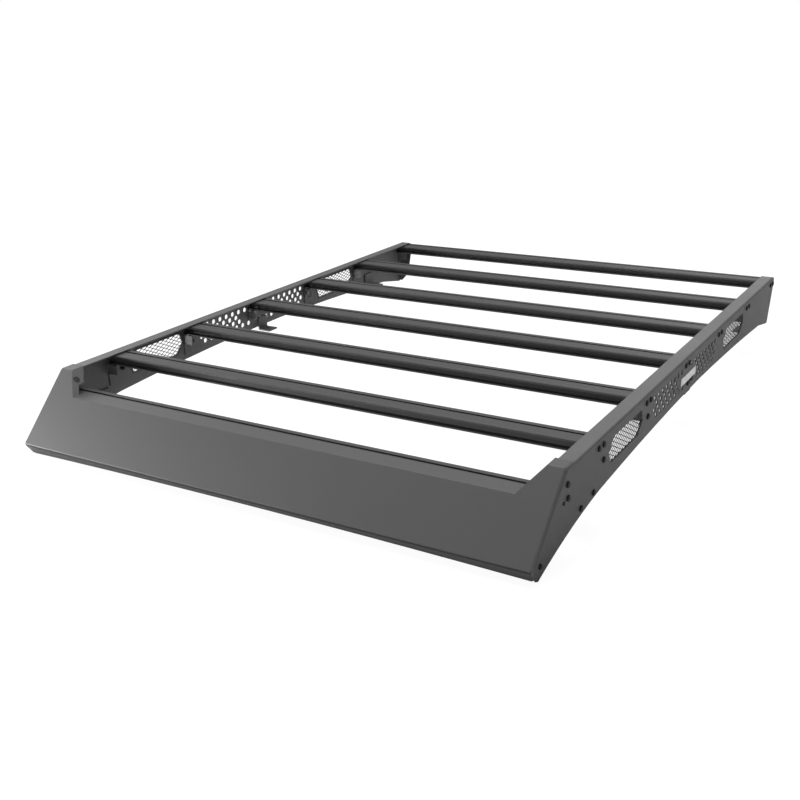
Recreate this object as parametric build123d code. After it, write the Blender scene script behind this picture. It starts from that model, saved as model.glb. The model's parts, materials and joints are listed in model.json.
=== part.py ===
"""Low-profile vehicle roof rack: two bent side panels, seven slotted cross bars and a front fairing.

X runs across the rack, Y to the rear and Z up. The origin is the middle of the footprint on the floor.
Heights are given as drops below the rails' top face, and stations as distances behind the deck's front end.
"""
from build123d import *
from math import acos, atan2, cos, degrees, sin, sqrt, tan
import os

# Overall sizes
WIDTH = 1270.0                 # over the outer faces of the side panels
DECK_LENGTH = 1590.0           # rails' top face, front end to rear end
DECK_HEIGHT = 168.0            # floor to the rails' top face
NOSE_REACH = 143.0             # fairing's fold ahead of the deck's front end
FOLD_DROP = 139.5              # fairing's fold below the rails' top face

# Side panels: folded sheet
PANEL_SHEET = 3.0
PANEL_BEND = 5.0               # outer bend radius between web and rail flange
RAIL_FLANGE = 34.0             # width of the flange folded over the top
WAIST_OFFSET = 121.5           # where the lower edge is highest, behind the middle bar
WAIST_DROP = 88.5
NOSE_ARC_STATION = 24.0        # a point that the lower edge's front arc passes
NOSE_ARC_DROP = 132.0
SHOULDER_STATION = 173.0       # where the front arc meets the long arch
SHOULDER_DROP = 110.5
FRONT_ARCH_STATION = 500.0     # a point that the long arch passes
FRONT_ARCH_DROP = 94.5
REAR_ARCH_SETBACK = 440.0      # a point that the rear arch passes, ahead of the deck's rear end
REAR_ARCH_DROP = 97.5
HEEL_SETBACK = 150.0           # where the rear arch ends and the foot begins
HEEL_DROP = 113.0
RAKE_RUN = 39.0                # how far the raked rear edge runs back from the foot to the rail
FOOT_DROP = 132.0              # rear foot, the panel's rear resting point
FOOT_FLAT = 10.0               # length of the foot's flat underside
REAR_CORNER = 16.0             # radius of the rear top corner
FRONT_CORNER = 4.0             # radius of the two corners inside the fairing's folds

# Return flanges of the side panels
NOSE_RETURN = 32.0             # width behind the fairing, measured from the outer face
NOSE_RETURN_LENGTH = 185.0     # slant length
NOSE_BEND = 4.0                # outer bend radius between web and nose return
REAR_RETURN = 34.0             # width, measured from the outer face
REAR_RETURN_START = 34.0       # drop of the return's upper end, clear of the last bar
REAR_RETURN_TAPER = 105.0      # drop where it begins to taper
REAR_RETURN_END = 130.0
REAR_RETURN_TIP = 12.0         # width at its lower end

# Windows and their mesh inserts
WINDOW_HEIGHT = 52.0
WINDOW_DROP = 23.0             # top edge below the rails' top face
WINDOW_NOSE = 25.0             # slant of the front upper corner
WINDOW_TAIL = 8.0              # slant of the rear upper corner
WINDOW_HEEL = 26.0             # slant of the rear lower corner
WINDOW_TOE = 12.0              # slant of the front lower corner
FRONT_WINDOW_GAP = 45.5        # from the first bar's centre to the front window
REAR_WINDOW_GAP = 40.0         # from the fourth bar's centre to the rear window
WINDOW_TAIL_GAP = 34.0         # from the front window to the next bar's centre
MESH_SHEET = 1.6
MESH_MARGIN = 4.0              # how far an insert overlaps its window all round
MESH_PITCH = 24.0              # long pitch of the expanded metal's diamonds
MESH_ROW = 6.1                 # height between staggered diamond rows
MESH_GAP_LENGTH = 19.6         # a diamond opening
MESH_GAP_HEIGHT = 9.2

# Perforated field between the windows
HOLE_PITCH = 27.3
HOLE_ROW = 14.0
HOLE_ROWS = 4
HOLE_CORNERS = 6
HOLE_R = 7.4                   # from a hole's centre to its corners
FIELD_LEAD = 79.0              # from the front window to the first column
FIELD_TAIL = 80.0              # at least, from the last column to the rear window
FIELD_DROP = 26.0              # first row
PAD_HALF = 34.0                # half length of the plain patch at the middle bar
PAD_ROWS = 3                   # rows that the plain patch interrupts
PAD_HALF_LOW = 14.0            # half length of the patch in the rows below
PLATE_ROWS = (1, 2)            # rows that the plate interrupts
PLATE_MARGIN = 12.0            # from the plate's ends to the nearest perforations' centres

# Cross bars
BAR_DEPTH = 54.0
BAR_HEIGHT = 24.4
BAR_COUNT = 6                  # full-height bars, besides the one under the fairing
MIDDLE_BAR = 2                 # the bar near the middle mounts, counted from 0
WINDOW_BARS = (0, 3)           # the bars that the windows follow
BAR_STATION = 167.5            # centre of the first full-height bar
LAST_BAR_SETBACK = 35.0        # centre of the last bar, ahead of the deck's rear end
BAR_DROP = 5.0                 # bar tops below the rails' top face
BAR_NOSE_R = 3.0               # rounding of the upper front edge
BAR_CHAMFER = 1.6              # the other edges
BAR_WALL = 2.2
SLOT_SETBACK = 17.0            # T-slot's centre from the bar's rear edge
SLOT_MOUTH = 7.0
SLOT_CAVITY = 13.0
SLOT_LIP = 2.2
SLOT_DEPTH = 8.6               # from the bar's top face to the slot's floor
FACE_GROOVE = 15.0             # height of the groove along the front face
FACE_GROOVE_DEPTH = 14.0
FACE_GROOVE_DROP = 5.5         # groove's upper edge below the bar's top face

# Front fairing
FAIRING_SHEET = 2.5
FAIRING_BEND = 4.0
EAR_SETBACK = 2.0              # ears' top edge ahead of the deck's front end
FAIRING_INSET = 5.0            # side edges inside the panels' outer faces
EAR_FLANGE = 35.0              # flange of the ears over the rails, and along their inner edges
EAR_TOP = 38.0                 # from the panel's outer face to the ear's inner edge, at the top
EAR_BOTTOM = 79.0              # the same where the cut-out's floor is
EAR_FLANGE_LOW = 20.0          # width of the inner edge's flange below its step
EAR_STEP_DROP = 27.0
EAR_HOLE_R = 8.0               # round hole in the inner edge's flange
EAR_HOLE_DROP = 17.0
EAR_HOLE_BACK = 13.5           # behind the ear's face
BAND_DROP = 44.5               # cut-out's floor below the rails' top face
BAND_FLANGE = 44.0             # flange folded back over the front bar
LIP_END_DROP = 28.5            # lip's height at the ends
LIP_END_BACK = 21.0            # how far the lip's lower edge lies behind the fold
LIP_MIDDLE_DROP = 17.0         # lip's height at the middle
LIP_CORNER = 6.0               # cut corners at the lip's ends
BAND_STUB = 12.0               # stretch of the slope that the folded band joins
FRONT_BAR_REAR = 24.0          # rear edge of the bar under the fairing

# Bar gussets and roof mounts
GUSSET_SHEET = 3.0
GUSSET_WIDTH = 58.0
LAST_GUSSET_WIDTH = 24.0       # clear of the rear return
GUSSET_LEG = 56.0              # down the web
SHORT_GUSSET_LEG = 31.0        # above the middle mount, and ahead of the rear return
GUSSET_REACH = 31.0            # inwards from the web, under the bar
GUSSET_APRON = 25.0            # height of the flange across its front end
MOUNT_SHEET = 4.0
MOUNT_WIDTH = 54.0
MIDDLE_MOUNT_WIDTH = 38.0
MOUNT_FOOT = 40.0              # foot's reach inwards from the web
MOUNT_BEND = 6.0
MOUNT_HOLE_R = 4.5
MOUNT_HOLE_INSET = 18.0        # hole's centre from the foot's inner edge
FRONT_MOUNT_STATION = 105.0
FRONT_MOUNT_TOP = 88.0
FRONT_MOUNT_DROP = 117.0
MIDDLE_MOUNT_OFFSET = 32.5     # behind the middle bar's centre
MIDDLE_MOUNT_TOP = 62.5
MIDDLE_MOUNT_DROP = 100.0
REAR_MOUNT_GAP = 10.5          # behind the gusset under the last bar but one
REAR_MOUNT_TOP = 62.0
REAR_MOUNT_DROP = 104.0

# Plain plate on the right panel
PLATE_LEAD = 44.5              # plate's front end ahead of the middle bar's centre
PLATE_LENGTH = 113.0
PLATE_DROP = 41.5
PLATE_HEIGHT = 18.5
PLATE_SHEET = 1.5
PLATE_CHAMFER = 2.0

# Cutters run past the sheet that they cut
OVERCUT = 1.0

# Derived places
HALF_WIDTH = WIDTH / 2
WEB_INNER = HALF_WIDTH - PANEL_SHEET
FAIRING_HALF = HALF_WIDTH - FAIRING_INSET
SLOPE_ANGLE = atan2(FOLD_DROP + FAIRING_SHEET, NOSE_REACH - EAR_SETBACK)
RAKE_ANGLE = atan2(RAKE_RUN, FOOT_DROP)
LIP_ANGLE = atan2(LIP_END_BACK, LIP_END_DROP)
BAR_PITCH = (DECK_LENGTH - LAST_BAR_SETBACK - BAR_STATION) / (BAR_COUNT - 1)
BAR_STATIONS = [BAR_STATION + index * BAR_PITCH for index in range(BAR_COUNT)]
MIDDLE_STATION = BAR_STATIONS[MIDDLE_BAR]
MIDDLE_MOUNT_STATION = MIDDLE_STATION + MIDDLE_MOUNT_OFFSET
REAR_MOUNT_STATION = BAR_STATIONS[-2] + GUSSET_WIDTH / 2 + REAR_MOUNT_GAP + MOUNT_WIDTH / 2
FRONT_WINDOW_STATION = BAR_STATIONS[WINDOW_BARS[0]] + FRONT_WINDOW_GAP
REAR_WINDOW_STATION = BAR_STATIONS[WINDOW_BARS[1]] + REAR_WINDOW_GAP
WINDOW_LENGTH = BAR_PITCH - FRONT_WINDOW_GAP - WINDOW_TAIL_GAP
SIDES = {"left": -1, "right": 1}


def rounding_loss(first, second, radius):
    """How much reach along Y a corner loses when it is rounded; both directions lead away from it."""
    half_angle = acos(first[0] * second[0] + first[1] * second[1]) / 2
    bisector = (first[0] + second[0]) / sqrt((first[0] + second[0]) ** 2 + (first[1] + second[1]) ** 2)
    return radius * (abs(bisector) / sin(half_angle) - 1)


FOLD_LOSS = rounding_loss(
    (cos(SLOPE_ANGLE), sin(SLOPE_ANGLE)), (sin(LIP_ANGLE), -cos(LIP_ANGLE)), FAIRING_BEND)
REAR_LOSS = rounding_loss((-1.0, 0.0), (-sin(RAKE_ANGLE), -cos(RAKE_ANGLE)), REAR_CORNER)
DECK_FRONT = (NOSE_REACH - FOLD_LOSS - DECK_LENGTH + REAR_LOSS) / 2


def station(distance):
    """Y of a point so far behind the deck's front end."""
    return DECK_FRONT + distance


def level(drop):
    """Z of a point so far below the rails' top face."""
    return DECK_HEIGHT - drop


def side_point(distance, drop):
    """A point of a side view, as (Y, Z)."""
    return (station(distance), level(drop))


# The fairing's outer face is a plane through its fold and its ears' top edge.
EAR_EDGE = (station(-EAR_SETBACK), level(-FAIRING_SHEET))
FOLD = side_point(-NOSE_REACH, FOLD_DROP)
SLOPE = Plane(origin=(0, *EAR_EDGE), x_dir=(1, 0, 0), z_dir=(0, -sin(SLOPE_ANGLE), cos(SLOPE_ANGLE)))


def slope_station(z, depth=0.0):
    """Y of the sloped plane at height z, so far behind the fairing's outer face."""
    along = (z - EAR_EDGE[1]) / tan(SLOPE_ANGLE)
    return EAR_EDGE[0] + along + depth / sin(SLOPE_ANGLE)


def lip_station(z, depth=0.0):
    """Y of the lip's plane at height z, so far behind its outer face."""
    return FOLD[0] + (FOLD[1] - z) * tan(LIP_ANGLE) + depth / cos(LIP_ANGLE)


def inner_fold(depth):
    """Where the slope and the lip meet, so far behind their outer faces."""
    gap = slope_station(FOLD[1], depth) - lip_station(FOLD[1], depth)
    z = FOLD[1] - gap / (1 / tan(SLOPE_ANGLE) + tan(LIP_ANGLE))
    return (slope_station(z, depth), z)


def side_prism(outline, x_from, x_to):
    """Extrudes a face drawn in the side view between two X places."""
    low, high = sorted((x_from, x_to))
    return extrude(Plane(origin=(low, 0, 0), x_dir=(0, 1, 0), z_dir=(1, 0, 0)) * outline, high - low)


def front_prism(outline, y_from, y_to):
    """Extrudes a face drawn as (X, Z) between two Y places."""
    low, high = sorted((y_from, y_to))
    return extrude(Plane(origin=(0, high, 0), x_dir=(1, 0, 0), z_dir=(0, -1, 0)) * outline, high - low)


def polygon(points):
    """A closed face through the points."""
    return make_face(Polyline(*points, close=True))


def bent_strip(points, sheet, bend, left=True):
    """Section of a folded sheet: its outer line through the points, thickened to one side."""
    outer = FilletPolyline(*points, radius=bend) if len(points) > 2 else Polyline(*points)
    side = Side.LEFT if left else Side.RIGHT
    return make_face(outer.offset_2d(sheet, kind=Kind.INTERSECTION, side=side, closed=True))


# Side panels

def panel_outline():
    """Side view of a panel, behind the fairing's sheet."""
    top = level(0)
    tip = (lip_station(0.0, FAIRING_SHEET), 0.0)
    nose = inner_fold(FAIRING_SHEET)
    shoulder = side_point(SHOULDER_STATION, SHOULDER_DROP)
    waist = side_point(MIDDLE_STATION + WAIST_OFFSET, WAIST_DROP)
    heel = side_point(DECK_LENGTH - HEEL_SETBACK, HEEL_DROP)
    foot_rear = side_point(DECK_LENGTH - RAKE_RUN, FOOT_DROP)
    foot_front = side_point(DECK_LENGTH - RAKE_RUN - FOOT_FLAT, FOOT_DROP)
    rake_top = (station(DECK_LENGTH), top)
    edges = [
        Line((slope_station(top, FAIRING_SHEET), top), nose),
        Line(nose, tip),
        ThreePointArc(tip, side_point(NOSE_ARC_STATION, NOSE_ARC_DROP), shoulder),
        ThreePointArc(shoulder, side_point(FRONT_ARCH_STATION, FRONT_ARCH_DROP), waist),
        ThreePointArc(waist, side_point(DECK_LENGTH - REAR_ARCH_SETBACK, REAR_ARCH_DROP), heel),
        Line(heel, foot_front),
        Line(foot_front, foot_rear),
        Line(foot_rear, rake_top),
        Line(rake_top, (slope_station(top, FAIRING_SHEET), top)),
    ]
    face = make_face(edges)
    face = fillet(face.vertices().sort_by(Axis.X)[-1], REAR_CORNER)
    face = fillet(face.vertices().sort_by(Axis.X)[0], FRONT_CORNER)
    top_front = face.vertices().group_by(Axis.Y)[-1].sort_by(Axis.X)[0]
    return fillet(top_front, FRONT_CORNER)


def window_points(front_station, grow=0.0):
    """Corners of a window in the side view, grown all round by a margin."""
    start = front_station - grow
    end = front_station + WINDOW_LENGTH + grow
    top = WINDOW_DROP - grow
    bottom = WINDOW_DROP + WINDOW_HEIGHT + grow
    middle = (top + bottom) / 2
    return [
        side_point(start, middle),
        side_point(start + WINDOW_NOSE, top),
        side_point(end - WINDOW_TAIL, top),
        side_point(end, middle),
        side_point(end - WINDOW_HEEL, bottom),
        side_point(start + WINDOW_TOE, bottom),
    ]


def field_is_plain(place, row):
    """Whether the perforated field is left plain there: at the middle bar and round the plate."""
    plate_start = MIDDLE_STATION - PLATE_LEAD
    by_plate = plate_start - PLATE_MARGIN < place < plate_start + PLATE_LENGTH + PLATE_MARGIN
    patch = PAD_HALF if row < PAD_ROWS else PAD_HALF_LOW
    return (row in PLATE_ROWS and by_plate) or abs(place - MIDDLE_STATION) <= patch


def hole_centres():
    """Centres of the perforations, staggered row by row."""
    first = FRONT_WINDOW_STATION + WINDOW_LENGTH + FIELD_LEAD
    last = REAR_WINDOW_STATION - FIELD_TAIL
    centres = []
    for row in range(HOLE_ROWS):
        row_first = first + (HOLE_PITCH / 2 if row % 2 else 0.0)
        for column in range(int((last - row_first) / HOLE_PITCH) + 1):
            place = row_first + column * HOLE_PITCH
            if not field_is_plain(place, row):
                centres.append(side_point(place, FIELD_DROP + row * HOLE_ROW))
    return centres


def rail_section(side):
    """Web and rail flange as a folded strip, drawn as (X, Z)."""
    points = [
        (side * (HALF_WIDTH - RAIL_FLANGE), level(0)),
        (side * HALF_WIDTH, level(0)),
        (side * HALF_WIDTH, 0.0),
    ]
    return bent_strip(points, PANEL_SHEET, PANEL_BEND, left=side < 0)


def nose_return(side):
    """Flange folded in along the sloped front edge, behind the fairing."""
    outline = polygon([
        (side * WEB_INNER, 0),
        (side * (HALF_WIDTH - NOSE_RETURN), 0),
        (side * (HALF_WIDTH - NOSE_RETURN), -NOSE_RETURN_LENGTH),
        (side * WEB_INNER, -NOSE_RETURN_LENGTH),
    ])
    start_slant = (FAIRING_SHEET + PANEL_SHEET) / sin(SLOPE_ANGLE)
    start = SLOPE.offset(-FAIRING_SHEET - PANEL_SHEET) * Pos(0, -start_slant, 0)
    return extrude(start * outline, PANEL_SHEET)


def nose_rounding(side):
    """Cutter that rounds the bend between the web and the nose return."""
    low = inner_fold(FAIRING_SHEET)
    high = slope_station(level(0), FAIRING_SHEET)
    length = (high - low[0]) / cos(SLOPE_ANGLE)
    plane = Plane(
        origin=(side * HALF_WIDTH, *low), x_dir=(side, 0, 0), z_dir=(0, cos(SLOPE_ANGLE), sin(SLOPE_ANGLE)))
    corner = Rectangle(2 * NOSE_BEND, 2 * NOSE_BEND) - Pos(-NOSE_BEND, side * NOSE_BEND) * Circle(NOSE_BEND)
    return extrude(plane * corner, length)


def rear_return(side):
    """Flange folded in along the raked rear edge, tapered at its lower end."""
    rake_top = (0, station(DECK_LENGTH), level(0))
    plane = Plane(origin=rake_top, x_dir=(1, 0, 0), z_dir=(0, -cos(RAKE_ANGLE), sin(RAKE_ANGLE)))
    start, taper, end = (
        -drop / cos(RAKE_ANGLE) for drop in (REAR_RETURN_START, REAR_RETURN_TAPER, REAR_RETURN_END))
    outline = polygon([
        (side * WEB_INNER, start),
        (side * (HALF_WIDTH - REAR_RETURN), start),
        (side * (HALF_WIDTH - REAR_RETURN), taper),
        (side * (HALF_WIDTH - REAR_RETURN_TIP), end),
        (side * WEB_INNER, end),
    ])
    return extrude(plane * outline, PANEL_SHEET)


def side_panel(side):
    """One folded side panel with its windows, perforations and return flanges."""
    strip = front_prism(rail_section(side), FOLD[0], station(DECK_LENGTH))
    body = strip & side_prism(panel_outline(), side * (HALF_WIDTH - RAIL_FLANGE), side * HALF_WIDTH)
    web_from = side * (WEB_INNER - OVERCUT)
    web_to = side * (HALF_WIDTH + OVERCUT)
    for front_station in (FRONT_WINDOW_STATION, REAR_WINDOW_STATION):
        body -= side_prism(polygon(window_points(front_station)), web_from, web_to)
    hole = RegularPolygon(HOLE_R, HOLE_CORNERS, rotation=180 / HOLE_CORNERS)
    holes = Sketch() + [Pos(*centre) * hole for centre in hole_centres()]
    body -= side_prism(holes, web_from, web_to)
    body += nose_return(side)
    body -= nose_rounding(side)
    body += rear_return(side)
    return body


def mesh_insert(side, front_station):
    """Expanded metal sheet behind a window: a plate with staggered diamond openings inside a plain edge."""
    outline = polygon(window_points(front_station, MESH_MARGIN))
    clear = polygon(window_points(front_station))
    start_y = station(front_station)
    top_z = level(WINDOW_DROP)
    rows = int(WINDOW_HEIGHT / MESH_ROW) + 2
    columns = int(WINDOW_LENGTH / MESH_PITCH) + 2
    half_length = MESH_GAP_LENGTH / 2
    half_height = MESH_GAP_HEIGHT / 2
    diamond = polygon([(-half_length, 0), (0, -half_height), (half_length, 0), (0, half_height)])
    diamonds = []
    for row in range(rows):
        stagger = MESH_PITCH / 2 if row % 2 else 0.0
        for column in range(columns):
            diamonds.append(Pos(start_y + stagger + column * MESH_PITCH, top_z - row * MESH_ROW) * diamond)
    openings = (Sketch() + diamonds) & clear
    return side_prism(outline - openings, side * (WEB_INNER - MESH_SHEET), side * WEB_INNER)


# Cross bars

def bar_section():
    """Section of a bar as (Y, Z), with its rear top edge at the origin."""
    block = polygon([
        (-BAR_DEPTH, 0),
        (-BAR_CHAMFER, 0),
        (0, -BAR_CHAMFER),
        (0, BAR_CHAMFER - BAR_HEIGHT),
        (-BAR_CHAMFER, -BAR_HEIGHT),
        (BAR_CHAMFER - BAR_DEPTH, -BAR_HEIGHT),
        (-BAR_DEPTH, BAR_CHAMFER - BAR_HEIGHT),
    ])
    outer = fillet(block.vertices().sort_by_distance((-BAR_DEPTH, 0, 0))[0], BAR_NOSE_R)
    mouth = Pos(-SLOT_SETBACK, -SLOT_DEPTH / 2) * Rectangle(SLOT_MOUTH, SLOT_DEPTH)
    cavity_depth = SLOT_DEPTH - SLOT_LIP
    cavity = Pos(-SLOT_SETBACK, -SLOT_LIP - cavity_depth / 2) * Rectangle(SLOT_CAVITY, cavity_depth)
    groove = Pos(-BAR_DEPTH + FACE_GROOVE_DEPTH / 2, -FACE_GROOVE_DROP - FACE_GROOVE / 2) * Rectangle(
        FACE_GROOVE_DEPTH, FACE_GROOVE)
    section = outer - mouth - cavity - groove
    front_start = -BAR_DEPTH + FACE_GROOVE_DEPTH + BAR_WALL
    front_end = -SLOT_SETBACK - SLOT_CAVITY / 2 - BAR_WALL
    front_length = front_end - front_start
    front_core = Pos(front_start + front_length / 2, -BAR_HEIGHT / 2) * Rectangle(
        front_length, BAR_HEIGHT - 2 * BAR_WALL)
    rear_length = SLOT_SETBACK - SLOT_CAVITY / 2 - 2 * BAR_WALL
    rear_core = Pos(-BAR_WALL - rear_length / 2, -BAR_HEIGHT / 2) * Rectangle(
        rear_length, BAR_HEIGHT - 2 * BAR_WALL)
    low_height = BAR_HEIGHT - SLOT_DEPTH - 2 * BAR_WALL
    low_core = Pos(-SLOT_SETBACK, -BAR_HEIGHT + BAR_WALL + low_height / 2) * Rectangle(
        SLOT_CAVITY, low_height)
    return section - front_core - rear_core - low_core


def cross_bar(rear_station, drop):
    """A bar from web to web, with its rear top edge at a station and its top at a drop."""
    placed = Pos(station(rear_station), level(drop)) * bar_section()
    return side_prism(placed, -WEB_INNER, WEB_INNER)


# Front fairing

def lip_face():
    """The lip's shape in its own plane: arched along its lower edge, with cut lower corners."""
    low = -LIP_END_DROP / cos(LIP_ANGLE)
    middle = -LIP_MIDDLE_DROP / cos(LIP_ANGLE)
    corner_x = FAIRING_HALF - LIP_CORNER
    corner_y = low + LIP_CORNER
    edges = [
        Line((-FAIRING_HALF, 0), (FAIRING_HALF, 0)),
        Line((FAIRING_HALF, 0), (FAIRING_HALF, corner_y)),
        Line((FAIRING_HALF, corner_y), (corner_x, low)),
        ThreePointArc((corner_x, low), (0, middle), (-corner_x, low)),
        Line((-corner_x, low), (-FAIRING_HALF, corner_y)),
        Line((-FAIRING_HALF, corner_y), (-FAIRING_HALF, 0)),
    ]
    return make_face(edges)


def ear_edge_x(z):
    """Distance of an ear's inner edge from the centre line at height z."""
    lean = (EAR_BOTTOM - EAR_TOP) / (EAR_EDGE[1] - level(BAND_DROP))
    return HALF_WIDTH - EAR_TOP - lean * (EAR_EDGE[1] - z)


def ear_return(side):
    """Flange folded back along an ear's inner edge, with a step and a round hole."""
    top = EAR_EDGE[1]
    step = level(EAR_STEP_DROP)
    low = level(BAND_DROP + FAIRING_SHEET)
    lean_angle = atan2(ear_edge_x(top) - ear_edge_x(low), top - low)
    thick = FAIRING_SHEET / cos(lean_angle)
    strip = polygon([
        (side * ear_edge_x(top), top),
        (side * ear_edge_x(low), low),
        (side * (ear_edge_x(low) + thick), low),
        (side * (ear_edge_x(top) + thick), top),
    ])
    view = polygon([
        (slope_station(top), top),
        (slope_station(top) + EAR_FLANGE, top),
        (slope_station(step) + EAR_FLANGE, step),
        (slope_station(step) + EAR_FLANGE_LOW, step),
        (slope_station(low) + EAR_FLANGE_LOW, low),
        (slope_station(low), low),
    ])
    body = front_prism(strip, FOLD[0], EAR_EDGE[0] + 2 * EAR_FLANGE) & side_prism(view, 0, side * HALF_WIDTH)
    hole_z = level(EAR_HOLE_DROP)
    hole_place = Pos(side * ear_edge_x(hole_z), slope_station(hole_z) + EAR_HOLE_BACK, hole_z)
    hole_turn = Rot(0, -side * (90 - degrees(lean_angle)), 0)
    return body - hole_place * hole_turn * Cylinder(EAR_HOLE_R, 2 * (thick + OVERCUT))


def front_fairing():
    """The fairing: sloped sheet, ears with flanges over the rails, top flange and arched lip."""
    lip_end = (FOLD[0] + LIP_END_BACK, FOLD[1] - LIP_END_DROP)
    ear_line = [(EAR_EDGE[0] + EAR_FLANGE, EAR_EDGE[1]), EAR_EDGE, FOLD, lip_end]
    full = side_prism(bent_strip(ear_line, FAIRING_SHEET, FAIRING_BEND), -FAIRING_HALF, FAIRING_HALF)
    band_z = level(BAND_DROP)
    band_edge = (slope_station(band_z), band_z)
    band_slant = (EAR_EDGE[1] - band_z) / sin(SLOPE_ANGLE)
    reach = 2 * EAR_FLANGE
    cut_bottom = HALF_WIDTH - EAR_BOTTOM
    cut_top = HALF_WIDTH - EAR_TOP
    cut = polygon([
        (-cut_bottom, -band_slant),
        (cut_bottom, -band_slant),
        (cut_top, 0),
        (cut_top, reach),
        (-cut_top, reach),
        (-cut_top, 0),
    ])
    full -= extrude(SLOPE.offset(-reach) * cut, 2 * reach)
    stub = (slope_station(band_z - BAND_STUB), band_z - BAND_STUB)
    band_line = [(band_edge[0] + BAND_FLANGE, band_z), band_edge, stub]
    band = side_prism(bent_strip(band_line, FAIRING_SHEET, FAIRING_BEND), -cut_bottom, cut_bottom)
    body = full + band + ear_return(SIDES["left"]) + ear_return(SIDES["right"])
    lip_plane = Plane(origin=(0, *FOLD), x_dir=(1, 0, 0), z_dir=(0, -cos(LIP_ANGLE), -sin(LIP_ANGLE)))
    below = Pos(0, -reach) * Rectangle(2 * WIDTH, 2 * reach)
    trim = extrude(lip_plane.offset(-reach) * (below - lip_face()), 2 * reach)
    guard = Box(3 * WIDTH, 3 * WIDTH, 3 * WIDTH, align=(Align.CENTER, Align.CENTER, Align.MAX))
    trim = trim & (Pos(0, 0, FOLD[1] - FAIRING_BEND) * guard)
    return body - trim


# Gussets, roof mounts and the plate

def gusset(side, index):
    """Angle under a bar's end, against the web, with a flange across its front end."""
    top = level(BAR_DROP + BAR_HEIGHT)
    last = index == BAR_COUNT - 1
    leg = SHORT_GUSSET_LEG if last or index == MIDDLE_BAR else GUSSET_LEG
    width = LAST_GUSSET_WIDTH if last else GUSSET_WIDTH
    web_x = side * WEB_INNER
    leg_x = side * (WEB_INNER - GUSSET_SHEET)
    end_x = side * (WEB_INNER - GUSSET_REACH)
    angle = polygon([
        (web_x, top),
        (web_x, top - leg),
        (leg_x, top - leg),
        (leg_x, top - GUSSET_SHEET),
        (end_x, top - GUSSET_SHEET),
        (end_x, top),
    ])
    apron = polygon([(web_x, top), (web_x, top - GUSSET_APRON), (end_x, top - GUSSET_APRON), (end_x, top)])
    front_y = station(BAR_STATIONS[index]) - width / 2
    return front_prism(angle, front_y, front_y + width) + front_prism(apron, front_y, front_y + GUSSET_SHEET)


def roof_mount(side, centre_station, width, top_drop, foot_drop):
    """Folded angle inside a panel, with a foot and its hole for the roof bolt."""
    centre_y = station(centre_station)
    foot_z = level(foot_drop)
    points = [
        (side * WEB_INNER, level(top_drop)),
        (side * WEB_INNER, foot_z),
        (side * (WEB_INNER - MOUNT_FOOT), foot_z),
    ]
    section = bent_strip(points, MOUNT_SHEET, MOUNT_BEND, left=side < 0)
    body = front_prism(section, centre_y - width / 2, centre_y + width / 2)
    hole_x = side * (WEB_INNER - MOUNT_FOOT + MOUNT_HOLE_INSET)
    return body - Pos(hole_x, centre_y, foot_z) * Cylinder(MOUNT_HOLE_R, 2 * (MOUNT_SHEET + OVERCUT))


def plain_plate():
    """Bare plate on the outer face of the right panel."""
    blank = Rectangle(PLATE_LENGTH, PLATE_HEIGHT)
    centre = Pos(*side_point(MIDDLE_STATION - PLATE_LEAD + PLATE_LENGTH / 2, PLATE_DROP + PLATE_HEIGHT / 2))
    outline = centre * chamfer(blank.vertices(), PLATE_CHAMFER)
    return side_prism(outline, HALF_WIDTH, HALF_WIDTH + PLATE_SHEET)


def side_parts(name, side):
    """The nodes of one side."""
    parts = {
        name + "_side_panel": side_panel(side),
        name + "_front_mesh": mesh_insert(side, FRONT_WINDOW_STATION),
        name + "_rear_mesh": mesh_insert(side, REAR_WINDOW_STATION),
        name + "_front_mount": roof_mount(
            side, FRONT_MOUNT_STATION, MOUNT_WIDTH, FRONT_MOUNT_TOP, FRONT_MOUNT_DROP),
        name + "_middle_mount": roof_mount(
            side, MIDDLE_MOUNT_STATION, MIDDLE_MOUNT_WIDTH, MIDDLE_MOUNT_TOP, MIDDLE_MOUNT_DROP),
        name + "_rear_mount": roof_mount(
            side, REAR_MOUNT_STATION, MOUNT_WIDTH, REAR_MOUNT_TOP, REAR_MOUNT_DROP),
    }
    for index in range(BAR_COUNT):
        parts[f"{name}_gusset_{index + 1}"] = gusset(side, index)
    return parts


def build_parts():
    """All nodes by name."""
    parts = {}
    for name, side in SIDES.items():
        parts.update(side_parts(name, side))
    parts["front_fairing"] = front_fairing()
    parts["front_cross_bar"] = cross_bar(FRONT_BAR_REAR, BAND_DROP + FAIRING_SHEET)
    for number, bar_station in enumerate(BAR_STATIONS, start=1):
        parts[f"cross_bar_{number}"] = cross_bar(bar_station + BAR_DEPTH / 2, BAR_DROP)
    parts["plain_plate"] = plain_plate()
    return parts


os.makedirs("parts", exist_ok=True)
for node, shape in build_parts().items():
    export_step(shape, f"parts/{node}.step")
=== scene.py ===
# %% [markdown]
# # A slotted platform roof rack, dressed in Blender
#
# The rack is a screwed metal frame: two folded side panels, seven extruded bars with a slot along the top,
# and a folded wind fairing at the front. Its solids come from CAD and are loaded as a fixed frame. This
# lesson adds what CAD leaves out: the powder coat with its fine grain and soft edges, the expanded metal in
# the windows, the rolled edges beside the fairing, the screws and nuts, and a plain studio round it all.
#
# Everything is in metres. X runs across the rack, Y to the rear and Z up, and the floor is at Z = 0.

# %% Load the frame
import json
import math

import bmesh
import bpy
from mathutils import Matrix, Vector


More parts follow.
